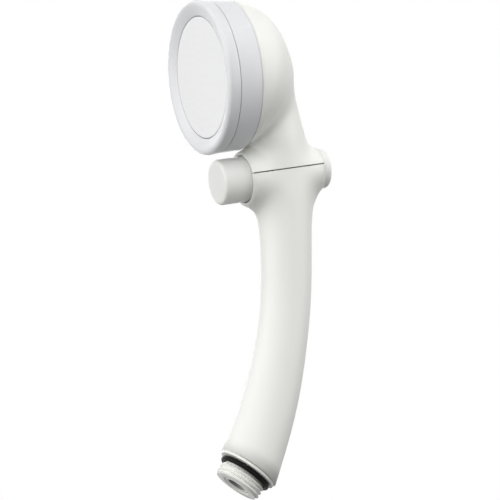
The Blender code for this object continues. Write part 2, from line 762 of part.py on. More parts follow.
def inlet_o_ring():
    wall = INLET_RING_GROOVE_RADIUS + 2 * (INLET_RING_SECTION + SEAL_GAP)
    middle = (INLET_RING_GROOVE_RADIUS + wall) / 2
    section = round_corner(
        middle, INLET_RING_PLACE, INLET_RING_SECTION, 90, -270, INLET_RING_SIDES
    )
    turned("inlet_o_ring", section[:-1], "rubber_black", inlet_axis, FINE)


def flow_restrictor():
    back = RESTRICTOR_DEPTH + RESTRICTOR_LENGTH
    radius = INLET_BORE_RADIUS - FIT
    outline = [
        (radius, back),
        (radius, RESTRICTOR_DEPTH),
        (RESTRICTOR_HOLE_RADIUS, RESTRICTOR_DEPTH),
        (RESTRICTOR_HOLE_RADIUS, RESTRICTOR_DEPTH + BUTTON_WALL),
        (RESTRICTOR_FUNNEL_RADIUS, back),
    ]
    turned("flow_restrictor", outline, "valve_white", inlet_axis, MEDIUM)


# ---- Valve ----


def valve_body():
    """Barrel and collar, with a spigot down to the handle and another up to the cup."""
    outline = [
        (BARREL_RADIUS, BARREL_BACK),
        (BARREL_RADIUS, VALVE_COLLAR_BACK),
        (VALVE_COLLAR_RADIUS, VALVE_COLLAR_BACK),
        (VALVE_COLLAR_RADIUS, VALVE_COLLAR_FRONT),
        (BARREL_RADIUS, VALVE_COLLAR_FRONT),
        (BARREL_RADIUS, BARREL_FRONT),
        (BARREL_BORE_RADIUS, BARREL_FRONT),
        (BARREL_BORE_RADIUS, BARREL_BACK),
    ]
    barrel = turned("valve_body", outline, "valve_white", valve_axis, MEDIUM)
    root = (BARREL_BORE_RADIUS + BARREL_RADIUS) / 2
    reach = VALVE_COLLAR_RADIUS + SPIGOT_LENGTH - root
    for name, axis in (("inlet", inlet_port_axis), ("outlet", outlet_port_axis)):
        spigot = [*spigot_outline(root, reach), (0, root), (0, root + reach)]
        spigot = [spigot[-1], *spigot[:-1]]
        combine(barrel, turned_cutter(f"{name}_spigot", spigot, axis, SMALL), "UNION")
        port = rod(SPIGOT_BORE_RADIUS, BARREL_BORE_RADIUS / 2, root + reach + OVERCUT)
        combine(barrel, turned_cutter(f"{name}_port", port, axis, SMALL), "DIFFERENCE")
        spigot_ring(f"valve_{name}_seal", VALVE_COLLAR_RADIUS, axis)


def valve_spool():
    """A grooved rod, thin between its middle and rear seals, hollow for the long screw."""
    floor = SPOOL_RADIUS - SPOOL_GROOVE_DEPTH
    half = seal_section(floor, BARREL_BORE_RADIUS) + SEAL_GAP
    waist_top, waist_bottom = REAR_SEAL - 2 * half, MIDDLE_SEAL + 2 * half
    head = SCREW_HEAD_RADIUS + FIT
    hole = SCREW_RADIUS + FIT
    outline = [
        (SPOOL_RADIUS, SPOOL_BACK),
        *groove(SPOOL_RADIUS, floor, REAR_SEAL, half),
        (SPOOL_RADIUS, waist_top),
        (SPOOL_WAIST_RADIUS, waist_top - half),
        (SPOOL_WAIST_RADIUS, waist_bottom + half),
        (SPOOL_RADIUS, waist_bottom),
        *groove(SPOOL_RADIUS, floor, MIDDLE_SEAL, half),
        *groove(SPOOL_RADIUS, floor, FRONT_SEAL, half),
        (SPOOL_RADIUS, SPOOL_FRONT),
        (hole, SPOOL_FRONT),
        (hole, SCREW_SEAT),
        (head, SCREW_SEAT),
        (head, SPOOL_BACK),
    ]
    turned("valve_spool", outline, "valve_white", valve_axis, SMALL)
    for name, place in (("front", FRONT_SEAL), ("middle", MIDDLE_SEAL), ("rear", REAR_SEAL)):
        rubber_ring(f"spool_seal_{name}", floor, BARREL_BORE_RADIUS, place, valve_axis)


def button_screw():
    top = SCREW_SEAT + FIT + SCREW_HEAD_HEIGHT
    tip = FRONT_STEM_END - SCREW_GRIP
    outline = [
        (0, top),
        (SCREW_HEAD_RADIUS, top),
        (SCREW_HEAD_RADIUS, SCREW_SEAT + FIT),
        (SCREW_RADIUS, SCREW_SEAT + FIT),
        (SCREW_RADIUS, tip + SCREW_RADIUS),
        (0, tip),
    ]
    turned("button_screw", outline, "screw_steel", valve_axis, SMALL)


def front_button():
    """A cup that slides over the barrel, with a stem that carries the spool."""
    front = -FRONT_BUTTON_PROUD
    radius = FRONT_BUTTON_RADIUS
    hole = SCREW_RADIUS + FIT
    hole_end = FRONT_STEM_END - SCREW_GRIP - FIT
    outline = [
        (0, hole_end),
        (hole, hole_end),
        (hole, FRONT_STEM_END),
        (FRONT_STEM_RADIUS, FRONT_STEM_END),
        (FRONT_STEM_RADIUS, front + BUTTON_WALL),
        (radius - BUTTON_WALL, front + BUTTON_WALL),
        (radius - BUTTON_WALL, FRONT_SKIRT_END),
        (radius, FRONT_SKIRT_END),
        *round_corner(radius - BUTTON_EDGE, front + BUTTON_EDGE, BUTTON_EDGE, 0, -90),
        (0, front),
    ]
    turned("front_button", outline, "button_grey", valve_axis)


def rear_button():
    """A cap outside the rear boss, with a skirt inside it and a socket for the spool."""
    back = REAR_BUTTON_BACK
    inner = back - BUTTON_WALL
    skirt_bore = REAR_SKIRT_RADIUS - REAR_SKIRT_WALL
    skirt_end = VALVE_COLLAR_BACK + 2 * FIT
    socket = SPOOL_RADIUS + FIT
    socket_end = BARREL_BACK + FIT
    outline = [
        (0, back),
        *round_corner(REAR_BUTTON_RADIUS - BUTTON_EDGE, back - BUTTON_EDGE, BUTTON_EDGE, 90, 0),
        (REAR_BUTTON_RADIUS, REAR_BUTTON_PLACE),
        (REAR_SKIRT_RADIUS, REAR_BUTTON_PLACE),
        (REAR_SKIRT_RADIUS, skirt_end),
        (skirt_bore, skirt_end),
        (skirt_bore, inner),
        (socket + REAR_SOCKET_WALL, inner),
        (socket + REAR_SOCKET_WALL, socket_end),
        (socket, socket_end),
        (socket, inner),
        (0, inner),
    ]
    turned("rear_button", outline, "button_grey", valve_axis, MEDIUM)


# ---- Water tubes ----


def valve_point(depth, rise):
    """A place at a depth along the valve's axis and a distance above it."""
    return VALVE_FRAME @ Vector((0, depth - FRONT_REACH, rise))


def water_tubes():
    """The tube up the handle, and the one from the valve to the chamber, with its passage."""
    seat = VALVE_COLLAR_RADIUS + FIT
    valve_up = VALVE_FRAME.to_3x3() @ Vector((0, 0, 1))
    top = valve_point(INLET_PORT, -seat)
    bottom = INLET_UP * (CONNECTOR_SPIGOT_PLACE + FIT)
    length = (top - bottom).length
    pulls = [share * length for share in INLET_TUBE_PULLS]
    tube("inlet_tube", tube_route(top, -valve_up, bottom, INLET_UP, pulls, INLET_TUBE_STEPS))
    start = valve_point(OUTLET_PORT, seat)
    end = Vector((0, FRONT_Y + CHAMBER_SEAT + FIT, FACE_Z))
    rise = end.z - start.z - TUBE_STRAIGHT
    run = start.y - end.y - TUBE_STRAIGHT
    pulls = (rise * OUTLET_TUBE_PULL, run * OUTLET_TUBE_PULL)
    route = tube_route(start, valve_up, end, Vector((0, 1, 0)), pulls, OUTLET_TUBE_STEPS)
    tube("outlet_tube", route)
    radius = TUBE_RADIUS + PASSAGE_CLEARANCE
    longer = stretched(route, VALVE_COLLAR_RADIUS / 2)
    passage = bar_mesh("tube_passage", longer, [radius] * len(longer))
    return add_cutter("tube_passage", passage)


# ---- Chamber, drum and spray plate ----


def chamber_plate():
    """The back of the water chamber: a shallow cup with a spigot behind it."""
    inner = CHAMBER_RADIUS - CHAMBER_WALL
    floor = -CHAMBER_SEAT
    spigot = [(radius, -place) for radius, place in reversed(spigot_outline(-floor, SPIGOT_LENGTH))]
    outline = [
        (CHAMBER_RADIUS, CUP_COLLAR_REACH - FIT),
        (CHAMBER_RADIUS, floor),
        *spigot,
        (SPIGOT_BORE_RADIUS, floor - SPIGOT_LENGTH),
        (SPIGOT_BORE_RADIUS, floor + CHAMBER_FLOOR),
        (inner, floor + CHAMBER_FLOOR),
        (inner, CUP_COLLAR_REACH - FIT),
    ]
    turned("chamber_plate", outline, "valve_white", spray_axis, MEDIUM)
    spigot_ring("chamber_tube_seal", CHAMBER_SEAT, chamber_spigot_axis)


def face_seal():
    inner = CUP_COLLAR_RADIUS - CUP_COLLAR_WALL + FIT
    outline = washer(inner, CUP_COLLAR_RADIUS, FACE_SEAL_START, FACE_SEAL_START + FACE_SEAL_THICKNESS)
    turned("face_seal", outline, "rubber_black", spray_axis, MEDIUM)


def drill(piece, name, holes, radius, sides, low, high):
    """Cuts straight holes at the given places, all with one cutter."""
    mesh = bpy.data.meshes.new(name)
    pins = bmesh.new()
    for x, y in holes:
        bmesh.ops.create_cone(
            pins,
            cap_ends=True,
            segments=sides,
            radius1=radius,
            radius2=radius,
            depth=high - low,
            matrix=Matrix.Translation((x, y, (low + high) / 2)),
        )
    pins.to_mesh(mesh)
    pins.free()
    combine(piece, add_cutter(name, mesh, spray_axis), "DIFFERENCE")


def on_circle(radius, count):
    return [(radius * cos(tau * i / count), radius * sin(tau * i / count)) for i in range(count)]


def water_distributor():
    """A disc that spreads the water, with a ring of round holes."""
    start, end = DISTRIBUTOR_START, DISTRIBUTOR_START + DISTRIBUTOR_THICKNESS
    outline = rod(SKIRT_BORE_RADIUS - FIT, start, end)
    disc = turned("water_distributor", outline, "valve_white", spray_axis, MEDIUM)
    holes = on_circle(DISTRIBUTOR_HOLE_CIRCLE, DISTRIBUTOR_HOLES)
    radius = DISTRIBUTOR_HOLE_RADIUS
    sides = DISTRIBUTOR_HOLE_SIDES
    drill(disc, "distributor_holes", holes, radius, sides, start - OVERCUT, end + OVERCUT)


def spray_plate():
    """A flanged disc with its nozzles on concentric rings."""
    flange = SKIRT_BORE_RADIUS - FIT
    shoulder = PLATE_START + PLATE_FLANGE
    outline = [
        (0, PLATE_FRONT),
        (PLATE_RADIUS - EDGE, PLATE_FRONT),
        (PLATE_RADIUS, PLATE_FRONT - EDGE),
        (PLATE_RADIUS, shoulder),
        (flange, shoulder),
        (flange, PLATE_START),
        (0, PLATE_START),
    ]
    plate = turned("spray_plate", outline, "plate_white", spray_axis)
    holes = [(0, 0)]
    for ring in range(1, NOZZLE_RINGS + 1):
        holes += on_circle(ring * NOZZLE_RING_STEP, 6 * ring)
    start, end = PLATE_START - OVERCUT, PLATE_FRONT + OVERCUT
    drill(plate, "nozzles", holes, NOZZLE_RADIUS, NOZZLE_SIDES, start, end)


def face_bezel():
    """The front ring: rounded lip, bevel down to the plate, and a skirt with a snap edge."""
    opening = PLATE_RADIUS + FIT
    crest, lip_place = BEZEL_RADIUS - BEZEL_LIP_WIDTH, BEZEL_END - BEZEL_LIP_DEPTH
    turns = [radians(90 - 90 * i / LIP_STEPS) for i in range(LIP_STEPS + 1)]
    snap = SKIRT_RADIUS + SNAP_DEPTH
    outline = [
        (opening, LEDGE_PLACE),
        (opening, PLATE_FRONT),
        (crest - BEVEL_EDGE, BEZEL_END - BEVEL_EDGE / 2),
        *((crest + BEZEL_LIP_WIDTH * cos(a), lip_place + BEZEL_LIP_DEPTH * sin(a)) for a in turns),
        (BEZEL_BACK_RADIUS, BEZEL_START + EDGE),
        (BEZEL_BACK_RADIUS - EDGE, BEZEL_START),
        (SKIRT_RADIUS, BEZEL_START),
        (SKIRT_RADIUS, SNAP_END),
        (snap, SNAP_END),
        (SKIRT_RADIUS, SKIRT_START),
        (SKIRT_BORE_RADIUS, SKIRT_START),
        (SKIRT_BORE_RADIUS, LEDGE_PLACE),
    ]
    turned("face_bezel", outline, "drum_white", spray_axis)


def clamp_ring():
    """The rear ring: threaded on the cup's collar, with a lip that catches the snap edge."""
    lip_hole = SKIRT_RADIUS + FIT
    thread = CUP_COLLAR_RADIUS + FIT
    cavity = SKIRT_RADIUS + SNAP_DEPTH + FIT
    lip_back = SNAP_END + FIT
    outline = [
        (lip_hole, RING_END),
        (RING_FRONT_RADIUS - EDGE, RING_END),
        (RING_FRONT_RADIUS, RING_END - EDGE),
        (RING_BACK_RADIUS, FIT + EDGE),
        (RING_BACK_RADIUS - EDGE, FIT),
        (thread, FIT),
        (thread, SKIRT_START - FIT),
        (cavity, SKIRT_START - FIT),
        (cavity, lip_back),
        (lip_hole, lip_back),
    ]
    turned("clamp_ring", outline, "drum_white", spray_axis)


# ---- Putting it together ----


def close_seams(mesh):
    """Joins the corners that a Boolean leaves a hair apart, and mends the slits between."""
    bm = bmesh.new()
    bm.from_mesh(mesh)
    bmesh.ops.remove_doubles(bm, verts=bm.verts, dist=SEAM)
    bmesh.ops.dissolve_degenerate(bm, edges=bm.edges, dist=SEAM)
    slits = [edge for edge in bm.edges if edge.is_boundary]
    bmesh.ops.edgeloop_fill(bm, edges=slits)
    bm.to_mesh(mesh)
    bm.free()


def freeze_pieces():
    """Makes each piece one plain mesh, smooth where it is round and sharp at its edges."""
    bpy.context.view_layer.update()
    graph = bpy.context.evaluated_depsgraph_get()
    pieces = [piece for piece in parts.objects if piece.type == "MESH"]
    meshes = [bpy.data.meshes.new_from_object(piece.evaluated_get(graph)) for piece in pieces]
    for piece, mesh in zip(pieces, meshes):
        close_seams(mesh)
        piece.modifiers.clear()
        piece.data = mesh
        mesh.name = piece.name
        mesh.shade_smooth()
        mesh.set_sharp_from_angle(angle=radians(SHARP_ANGLE))


clear_scene()
parts = new_collection("shower_head")
cutters = new_collection("cutters")
materials = {name: new_material(name) for name in FINISHES}
inlet_axis = new_axis("inlet_axis", (0, 0, 0), -INLET_TILT)
valve_axis = new_axis("valve_axis", valve_point(0, 0), VALVE_TILT - 90)
spray_axis = new_axis("spray_axis", (0, FRONT_Y, FACE_Z), 90)
chamber_spigot_axis = new_axis("chamber_spigot_axis", (0, FRONT_Y, FACE_Z), -90)
inlet_port_axis = new_axis("inlet_port_axis", valve_point(INLET_PORT, 0), VALVE_TILT + 180)
outlet_port_axis = new_axis("outlet_port_axis", valve_point(OUTLET_PORT, 0), VALVE_TILT)

inlet_connector()
inlet_o_ring()
flow_restrictor()
valve_body()
valve_spool()
button_screw()
front_button()
rear_button()
tube_passage = water_tubes()
head_housing(tube_passage)
handle_shell()
chamber_plate()
face_seal()
water_distributor()
spray_plate()
face_bezel()
clamp_ring()
freeze_pieces()
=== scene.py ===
import json
from math import atan2, cos, hypot, pi, radians, sin, tau

import bmesh
import bpy
from mathutils import Matrix, Vector


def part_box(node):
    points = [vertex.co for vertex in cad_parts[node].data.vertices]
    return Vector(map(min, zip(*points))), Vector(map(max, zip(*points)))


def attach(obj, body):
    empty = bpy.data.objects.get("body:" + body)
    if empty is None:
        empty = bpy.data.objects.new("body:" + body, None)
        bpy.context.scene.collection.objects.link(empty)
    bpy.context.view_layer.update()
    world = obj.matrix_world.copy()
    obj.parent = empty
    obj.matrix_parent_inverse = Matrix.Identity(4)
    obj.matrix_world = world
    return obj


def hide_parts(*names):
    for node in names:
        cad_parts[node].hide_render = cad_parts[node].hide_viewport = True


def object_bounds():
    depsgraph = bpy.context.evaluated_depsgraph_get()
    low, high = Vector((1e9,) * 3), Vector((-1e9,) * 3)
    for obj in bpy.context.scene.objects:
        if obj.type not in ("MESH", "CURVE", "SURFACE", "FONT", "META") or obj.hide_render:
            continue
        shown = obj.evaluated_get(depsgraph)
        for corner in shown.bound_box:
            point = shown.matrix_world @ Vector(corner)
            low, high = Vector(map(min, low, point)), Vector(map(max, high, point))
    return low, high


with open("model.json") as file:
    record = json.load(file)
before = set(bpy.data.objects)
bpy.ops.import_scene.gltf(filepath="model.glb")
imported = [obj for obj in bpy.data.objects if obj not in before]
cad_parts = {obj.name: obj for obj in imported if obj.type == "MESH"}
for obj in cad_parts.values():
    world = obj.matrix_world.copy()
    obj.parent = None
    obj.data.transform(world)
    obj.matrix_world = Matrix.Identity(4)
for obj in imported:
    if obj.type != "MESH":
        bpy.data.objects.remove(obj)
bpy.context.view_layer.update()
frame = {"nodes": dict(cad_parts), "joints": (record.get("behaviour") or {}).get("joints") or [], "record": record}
record = frame["record"]
nodes = frame["nodes"]
for startupName in ("Cube", "Light", "Camera"):
    startupObject = bpy.data.objects.get(startupName)
    if startupObject:
        bpy.data.objects.remove(startupObject)
print("frame loaded with", len(nodes), "nodes")


def axisFrame(origin, direction):
    # a matrix whose Z runs along the direction, with X kept level
    zAxis = Vector(direction).normalized()
    xAxis = Vector((1, 0, 0))
    yAxis = zAxis.cross(xAxis).normalized()
    turned = Matrix((xAxis, yAxis, zAxis)).transposed().to_4x4()
    return Matrix.Translation(origin) @ turned


def middleOf(node):
    low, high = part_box(node)
    return (low + high) / 2


def measure(node, axis):
    # lowest and highest place along an axis, and the widest radius about it
    toAxis = axis.inverted()
    places = [toAxis @ vert.co for vert in nodes[node].data.vertices]
    heights = [place.z for place in places]
    return min(heights), max(heights), max(hypot(place.x, place.y) for place in places)


tolerances = {
    "mergeDistance": 1e-6,
    "onAxis": 1e-7,
    "level": 0.00001,  # two places this close along an axis are on one level
}

threadMount = next(m for m in record["mounts"] if m["name"] == "inlet_thread")
stopJoint = next(j for j in frame["joints"] if j["name"] == "stop_button_slide")
sprayAxis = axisFrame(middleOf("clamp_ring"), (0, -1, 0))  # Z points out of the spray face
valveAxis = axisFrame(middleOf("front_button"), -Vector(stopJoint["axis"]))  # Z points to the front
inletAxis = axisFrame(Vector(threadMount["pos_m"]), -Vector(threadMount["axis"]))  # Z points up


def newGroup(name, inputs, outputs):
    # inputs are (name, kind, value), and outputs are (name, kind)
    group = bpy.data.node_groups.new(name, "ShaderNodeTree")
    for label, kind, value in inputs:
        socket = group.interface.new_socket(label, in_out="INPUT", socket_type=kind)
        socket.default_value = value
    for label, kind in outputs:
        group.interface.new_socket(label, in_out="OUTPUT", socket_type=kind)
    start = group.nodes.new("NodeGroupInput")
    end = group.nodes.new("NodeGroupOutput")
    return group, start, end


def addNode(tree, kind, links=None, **settings):
    # links maps an input's name or number to a socket or a plain value
    node = tree.nodes.new(kind)
    for label, value in settings.items():
        setattr(node, label, value)
    for label, value in (links or {}).items():
        if isinstance(value, bpy.types.NodeSocket):
            tree.links.new(value, node.inputs[label])
        else:
            node.inputs[label].default_value = value
    return node


def noiseOf(tree, place, scale, detail=2.0):
    return addNode(
        tree, "ShaderNodeTexNoise", {"Vector": place, "Scale": scale, "Detail": detail}
    ).outputs["Fac"]


def remap(tree, value, low, high, fromLow=0.3, fromHigh=0.7):
    # noise mostly lies between 0.3 and 0.7
    links = {
        "Value": value, "From Min": fromLow, "From Max": fromHigh, "To Min": low, "To Max": high,
    }
    return addNode(tree, "ShaderNodeMapRange", links).outputs["Result"]


def calculate(tree, operation, *values):
    return addNode(
        tree, "ShaderNodeMath", dict(enumerate(values)), operation=operation
    ).outputs["Value"]


def mixColours(tree, share, first, second):
    mixed = addNode(tree, "ShaderNodeMix", {"Factor": share, 6: first, 7: second}, data_type="RGBA")
    return mixed.outputs[2]


def makeMouldedSkin():
    # moulded plastic: slow clouding in the colour and the gloss, and a fine spark-eroded grain
    floats, colours = "NodeSocketFloat", "NodeSocketColor"
    group, start, end = newGroup(
        "mouldedSkin",
        [
            ("Colour", colours, (0.8, 0.8, 0.8, 1)),
            ("Shade Colour", colours, (0.75, 0.75, 0.75, 1)),
            ("Clouding", floats, 0.3),
            ("Roughness", floats, 0.3),
            ("Roughness Spread", floats, 0.05),
            ("Grain Size", floats, 2500.0),
            ("Grain Depth", floats, 0.00001),
        ],
        [("Colour", colours), ("Roughness", floats), ("Normal", "NodeSocketVector")],
    )
    place = addNode(group, "ShaderNodeTexCoord").outputs["Object"]
    given = start.outputs
    clouds = remap(group, noiseOf(group, place, 38.0, 3.0), 0.0, 1.0)
    share = calculate(group, "MULTIPLY", clouds, given["Clouding"])
    colour = mixColours(group, share, given["Colour"], given["Shade Colour"])
    flow = addNode(
        group, "ShaderNodeMapping", {"Vector": place, "Scale": (2.2, 2.2, 0.5)}
    ).outputs["Vector"]  # flow marks run along the mould
    streaks = remap(group, noiseOf(group, flow, 90.0, 4.0), -1.0, 1.0)
    roughness = calculate(
        group, "MULTIPLY_ADD", streaks, given["Roughness Spread"], given["Roughness"]
    )
    grain = noiseOf(group, place, given["Grain Size"], 3.0)
    bump = addNode(group, "ShaderNodeBump", {"Height": grain, "Distance": given["Grain Depth"]})
    group.links.new(colour, end.inputs["Colour"])
    group.links.new(roughness, end.inputs["Roughness"])
    group.links.new(bump.outputs["Normal"], end.inputs["Normal"])
    return group


def makeSettledDust():
    # a thin pale bloom in patches, such as dried water leaves
    colours = "NodeSocketColor"
    group, start, end = newGroup(
        "settledDust",
        [
            ("Colour", colours, (0.8, 0.8, 0.8, 1)),
            ("Dust Colour", colours, (0.5, 0.5, 0.48, 1)),
            ("Amount", "NodeSocketFloat", 0.1),
        ],
        [("Colour", colours)],
    )
    place = addNode(group, "ShaderNodeTexCoord").outputs["Object"]
    patches = remap(group, noiseOf(group, place, 160.0, 5.0), 0.0, 1.0)
    share = calculate(group, "MULTIPLY", patches, start.outputs["Amount"])
    colour = mixColours(group, share, start.outputs["Colour"], start.outputs["Dust Colour"])
    group.links.new(colour, end.inputs["Colour"])
    return group


def makeEdgeRubAndPaintedHighlight():
    # raised edges rubbed a little smoother by hands and towels, and made paler as a painted highlight where edges
    # catch the light
    floats, colours = "NodeSocketFloat", "NodeSocketColor"
    group, start, end = newGroup(
        "edgeRubAndPaintedHighlight",
        [
            ("Colour", colours, (0.8, 0.8, 0.8, 1)),
            ("Painted Highlight Colour", colours, (0.9, 0.9, 0.9, 1)),
            ("Roughness", floats, 0.4),
            ("Smoothing", floats, 0.1),
            ("Amount", floats, 0.3),
        ],
        [("Colour", colours), ("Roughness", floats)],
    )
    given = start.outputs
    place = addNode(group, "ShaderNodeTexCoord").outputs["Object"]
    raised = addNode(group, "ShaderNodeNewGeometry").outputs["Pointiness"]
    edges = addNode(
        group, "ShaderNodeMapRange", {"Value": raised, "From Min": 0.51, "From Max": 0.58}
    ).outputs["Result"]
    broken = remap(group, noiseOf(group, place, 420.0, 4.0), 0.2, 1.0)
    share = calculate(group, "MULTIPLY", calculate(group, "MULTIPLY", edges, broken), given["Amount"])
    # the paler edge colour is a painted highlight on raised edges
    colour = mixColours(group, share, given["Colour"], given["Painted Highlight Colour"])
    smoother = calculate(group, "MULTIPLY", share, given["Smoothing"])
    roughness = calculate(group, "SUBTRACT", given["Roughness"], smoother)
    group.links.new(colour, end.inputs["Colour"])
    group.links.new(roughness, end.inputs["Roughness"])
    return group


mouldedSkin = makeMouldedSkin()
settledDust = makeSettledDust()
edgeRubAndPaintedHighlight = makeEdgeRubAndPaintedHighlight()
print("shader groups made")


# one finish for each of the record's slots, and a darker one for the restrictor's recess, which is painted shade
# in that hollow
finishes = {
    "body_white": {
        "colour": (0.855, 0.862, 0.825), "shade": (0.835, 0.842, 0.80), "clouding": 0.5,
        "roughness": 0.46, "spread": 0.03, "grain": 2600.0, "depth": 0.000006,
    },
    "drum_white": {
        "colour": (0.735, 0.74, 0.76), "shade": (0.715, 0.72, 0.74), "clouding": 0.4,
        "roughness": 0.36, "spread": 0.03, "grain": 3000.0, "depth": 0.000004, "rubAndHighlight": 0.25,
    },
    "plate_white": {
        "colour": (0.90, 0.90, 0.905), "shade": (0.88, 0.88, 0.89), "clouding": 0.5,
        "roughness": 0.42, "spread": 0.04, "grain": 2200.0, "depth": 0.000008,
    },
    "button_grey": {
        "colour": (0.84, 0.845, 0.815), "shade": (0.81, 0.82, 0.785), "clouding": 0.5,
        "roughness": 0.42, "spread": 0.05, "grain": 2000.0, "depth": 0.000010, "rubAndHighlight": 0.4,
        "dust": 0.05,
    },
    "valve_white": {
        "colour": (0.78, 0.78, 0.75), "shade": (0.74, 0.74, 0.70), "clouding": 0.5,
        "roughness": 0.40, "spread": 0.05, "grain": 1800.0, "depth": 0.00001, "dust": 0.10,
    },
    "tube_white": {
        "colour": (0.70, 0.72, 0.73), "shade": (0.64, 0.67, 0.69), "clouding": 0.6,
        "roughness": 0.36, "spread": 0.05, "grain": 900.0, "depth": 0.00001, "dust": 0.10,
    },
    "rubber_black": {
        "colour": (0.006, 0.006, 0.0058), "shade": (0.010, 0.010, 0.0095), "clouding": 0.8,
        "roughness": 0.40, "spread": 0.08, "grain": 3500.0, "depth": 0.00001, "dust": 0.005,
        "specular": 0.07,
    },
    # darker colour for the restrictor's recess: painted shade, not the part's own colour
    "restrictor_recess_painted_shade": {
        "colour": (0.20, 0.20, 0.195), "shade": (0.16, 0.16, 0.155), "clouding": 0.6,
        "roughness": 0.40, "spread": 0.05, "grain": 1500.0, "depth": 0.00001, "dust": 0.12,
    },
    "screw_steel": {
        "colour": (0.60, 0.59, 0.57), "shade": (0.50, 0.49, 0.47), "clouding": 0.5,
        "roughness": 0.28, "spread": 0.08, "grain": 1500.0, "depth": 0.000004, "metallic": 1.0,
    },
}
# paler colour painted onto raised edges as a painted highlight
paintedEdgeHighlightColour = (0.88, 0.88, 0.87, 1)


def makeMaterial(name, values):
    material = bpy.data.materials.new(name)
    material.use_nodes = True
    tree = material.node_tree
    shader = tree.nodes["Principled BSDF"]
    skin = addNode(
        tree, "ShaderNodeGroup", {
            "Colour": (*values["colour"], 1), "Shade Colour": (*values["shade"], 1),
            "Clouding": values["clouding"], "Roughness": values["roughness"],
            "Roughness Spread": values["spread"], "Grain Size": values["grain"],
            "Grain Depth": values["depth"],
        }, node_tree=mouldedSkin,
    )
    colour, roughness = skin.outputs["Colour"], skin.outputs["Roughness"]
    # raised edges get a painted highlight in their colour, and a smoother roughness
    if "rubAndHighlight" in values:
        links = {
            "Colour": colour, "Painted Highlight Colour": paintedEdgeHighlightColour, "Roughness": roughness,
            "Amount": values["rubAndHighlight"],
        }
        rubbedAndHighlighted = addNode(tree, "ShaderNodeGroup", links, node_tree=edgeRubAndPaintedHighlight)
        colour, roughness = rubbedAndHighlighted.outputs["Colour"], rubbedAndHighlighted.outputs["Roughness"]
    if "dust" in values:
        links = {"Colour": colour, "Amount": values["dust"]}
        colour = addNode(tree, "ShaderNodeGroup", links, node_tree=settledDust).outputs["Colour"]
    tree.links.new(colour, shader.inputs["Base Color"])
    tree.links.new(roughness, shader.inputs["Roughness"])
    tree.links.new(skin.outputs["Normal"], shader.inputs["Normal"])
    shader.inputs["Metallic"].default_value = values.get("metallic", 0.0)
    shader.inputs["IOR"].default_value = 1.48
    shader.inputs["Specular IOR Level"].default_value = values.get("specular", 0.5)
    material.diffuse_color = (*values["colour"], 1)
    return material


materials = {name: makeMaterial(name, values) for name, values in finishes.items()}
slotOf = {part["node"]: part["material_slot"] for part in record["subparts"]}
bodyOf = {node: body for body, members in record["behaviour"]["bodies"].items() for node in members}
for nodeName, node in nodes.items():
    node.data.materials.clear()
    node.data.materials.append(materials[slotOf[nodeName]])
print("materials made:", ", ".join(materials))


def finishPiece(name, bm, replaced, sharpAngle=40):
    # the mesh becomes a smooth shaded piece that stands for a node and rides on its body
    mesh = bpy.data.meshes.new(name)
    bm.to_mesh(mesh)
    bm.free()
    mesh.shade_smooth()
    mesh.set_sharp_from_angle(angle=radians(sharpAngle))
    piece = bpy.data.objects.new(name, mesh)
    bpy.context.scene.collection.objects.link(piece)
    mesh.materials.append(materials[slotOf[replaced]])
    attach(piece, bodyOf[replaced])
    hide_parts(replaced)
    print("piece:", name, len(mesh.polygons), "faces")
    return piece


def roundedProfile(bm, corners):
    # corners are (radius, height, rounding), round the section in order
    verts = [bm.verts.new((radius, 0, height)) for radius, height, rounding in corners]
    bm.faces.new(verts)
    for vert, corner in zip(verts, corners):
        if corner[2] > 0:
            bmesh.ops.bevel(
                bm, geom=[vert], offset=corner[2], offset_type="OFFSET", affect="VERTICES",
                segments=3 + int(corner[2] / 0.0003), profile=0.5, material=-1,
            )
    bmesh.ops.delete(bm, geom=list(bm.faces), context="FACES_ONLY")
    onAxis = [edge for edge in bm.edges if all(abs(vert.co.x) < tolerances["onAxis"] for vert in edge.verts)]
    bmesh.ops.delete(bm, geom=onAxis, context="EDGES")


def turnProfile(bm, steps):
    bmesh.ops.spin(
        bm, geom=list(bm.verts) + list(bm.edges), cent=(0, 0, 0), axis=(0, 0, 1),
        dvec=(0, 0, 0), angle=tau, steps=steps, use_merge=True,
        use_normal_flip=False, use_duplicate=False,
    )
    bmesh.ops.remove_doubles(bm, verts=list(bm.verts), dist=tolerances["mergeDistance"])
    bmesh.ops.recalc_face_normals(bm, faces=list(bm.faces))


def turnedPiece(name, corners, axis, replaced, steps=96):
    bm = bmesh.new()
    roundedProfile(bm, corners)
    turnProfile(bm, steps)
    bmesh.ops.transform(bm, matrix=axis, verts=list(bm.verts))
    return finishPiece(name, bm, replaced)


shells = {
    "sharpAngle": 38,
    "evenAngle": 22,  # nothing that turns more sharply than this is evened out
    "evenFrom": 0.016,  # above the joint, so that only the dome is evened out
    "evenRounds": 2,
    "jointOpening": 0.0001,  # off the flat edge of each shell
    "jointReach": 0.005,  # how far from that edge the skin gives way to it
}


def evenOut(bm):
    # takes faint ridges out of the blended skin, and leaves edges and what lies beside them
    sharp = set()
    for edge in bm.edges:
        if len(edge.link_faces) != 2 or edge.calc_face_angle() > radians(shells["evenAngle"]):
            sharp.update(edge.verts)
    toValve = valveAxis.inverted()
    free = [
        vert for vert in bm.verts
        if vert not in sharp and (toValve @ vert.co).y > shells["evenFrom"]
        and not any(edge.other_vert(vert) in sharp for edge in vert.link_edges)
    ]
    for _ in range(shells["evenRounds"]):
        bmesh.ops.smooth_vert(
            bm, verts=free, factor=0.5, use_axis_x=True, use_axis_y=True, use_axis_z=True
        )


def openJoint(bm, side):
    # side is 1 for the shell above the joint and -1 for the one below it
    toValve = valveAxis.inverted()
    rises = {vert: (toValve @ vert.co).y * side for vert in bm.verts}
    level = min(rises.values())
    away = valveAxis.to_3x3() @ Vector((0, side * shells["jointOpening"], 0))
    for vert, rise in rises.items():
        vert.co += away * max(1 - (rise - level) / shells["jointReach"], 0)


